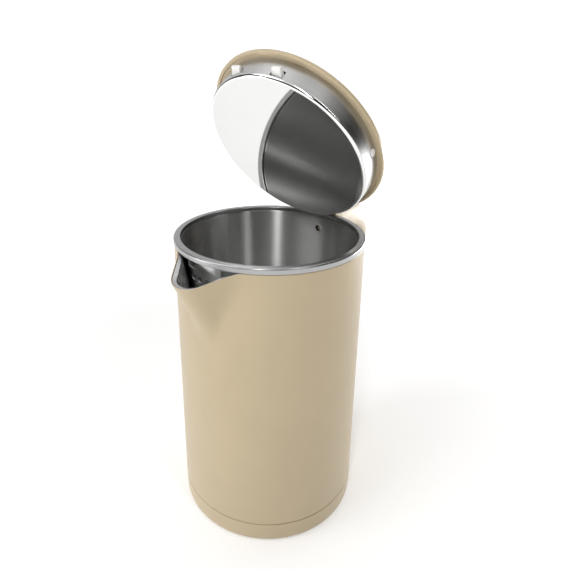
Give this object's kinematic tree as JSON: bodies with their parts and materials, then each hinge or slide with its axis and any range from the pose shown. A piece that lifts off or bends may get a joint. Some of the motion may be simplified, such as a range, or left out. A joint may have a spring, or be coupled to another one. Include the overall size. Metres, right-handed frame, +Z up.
{
  "type": "electric kettle",
  "caption": "Cordless electric kettle with a steel pot in a tapered cream cool-touch body, drawn-out beak, loop handle and a sprung lid that stands open, on a round power base.",
  "frame": {"origin": "centre of the flat pad under the power base, on the table, on the body's axis", "axes": "+Z up along the body's axis, +X towards the handle and the lid's hinge, so the beak points to -X"},
  "size_m": [0.2256, 0.15, 0.361],
  "materials": {
    "body_plastic": "satin cream",
    "white_plastic": "satin",
    "grey_plastic": "matt",
    "black_plastic": "satin",
    "rubber": "matt",
    "brushed_steel": "brushed round the axis",
    "polished_steel": "polished",
    "aluminium": "cast",
    "element_steel": "heat-tinted",
    "brass": "bright",
    "fastener_steel": "bright",
    "lens": "clear"
  },
  "bodies": {
    "base": {"base_shell": "body_plastic", "base_plate": "grey_plastic", "base_connector": "black_plastic", "base_contact_ring": "brass", "cord_gland": "rubber", "base_foot_1": "rubber", "base_foot_2": "rubber", "base_foot_3": "rubber", "base_foot_4": "rubber", "base_screw_1": "fastener_steel", "base_screw_2": "fastener_steel", "base_screw_3": "fastener_steel"},
    "socket": {"connector_socket": "black_plastic", "socket_ring": "brass", "socket_pin": "brass"},
    "kettle": {"outer_shell": "body_plastic", "inner_pot": "brushed_steel", "rim_ring": "brushed_steel", "spout_liner": "brushed_steel", "bottom_cover": "body_plastic", "cover_screw_1": "fastener_steel", "cover_screw_2": "fastener_steel", "cover_screw_3": "fastener_steel", "heater_plate": "aluminium", "heating_element": "element_steel", "thermostat_control": "black_plastic", "switch_pin": "fastener_steel", "handle_outer": "body_plastic", "handle_inner": "body_plastic", "handle_screw_top": "fastener_steel", "handle_screw_low": "fastener_steel", "steam_tube": "rubber", "hinge_pin": "fastener_steel", "hinge_spring": "fastener_steel"},
    "switch": {"switch_lever": "body_plastic", "indicator_lens": "lens"},
    "lid": {"lid_shell": "body_plastic", "lid_pan": "polished_steel", "lid_core": "white_plastic", "lid_screw_1": "fastener_steel", "lid_screw_2": "fastener_steel", "lid_screw_3": "fastener_steel", "lid_bumper_left": "white_plastic", "lid_bumper_right": "white_plastic", "button_spring_left": "fastener_steel", "button_spring_right": "fastener_steel", "latch_spring_left": "fastener_steel", "latch_spring_right": "fastener_steel"},
    "button": {"lid_button": "body_plastic"},
    "latch": {"latch_slider": "white_plastic"}
  },
  "joints": [
    {"name": "kettle_lift", "type": "slide", "parent": "base", "child": "socket", "axis": [0, 0, 1], "range_m": [0, 0.06]},
    {"name": "kettle_swivel", "type": "hinge", "parent": "socket", "child": "kettle", "pos_m": [0, 0, 0.019], "axis": [0, 0, 1], "continuous": true},
    {"name": "lid_hinge", "type": "hinge", "parent": "kettle", "child": "lid", "pos_m": [0.0728, 0, 0.2438], "axis": [0, 1, 0], "range_deg": [-56, 0], "stiffness_Nm_per_rad": 0.1, "springref_deg": 57.3},
    {"name": "lid_button", "type": "slide", "parent": "lid", "child": "button", "axis": [-0.829, 0, -0.5592], "range_m": [0, 0.003], "stiffness_N_per_m": 300, "springref_m": -0.002, "deforming": ["button_spring_left", "button_spring_right"]},
    {"name": "latch_slide", "type": "slide", "parent": "lid", "child": "latch", "axis": [0.5592, 0, -0.829], "range_m": [0, 0.004], "deforming": ["latch_spring_left", "latch_spring_right"]},
    {"name": "switch_hinge", "type": "hinge", "parent": "kettle", "child": "switch", "pos_m": [0.06, 0, 0.034], "axis": [0, 1, 0], "range_deg": [0, 9]}
  ],
  "couplings": [
    {"joint": "latch_slide", "follows": "lid_button", "ratio": 1.3333}
  ]
}
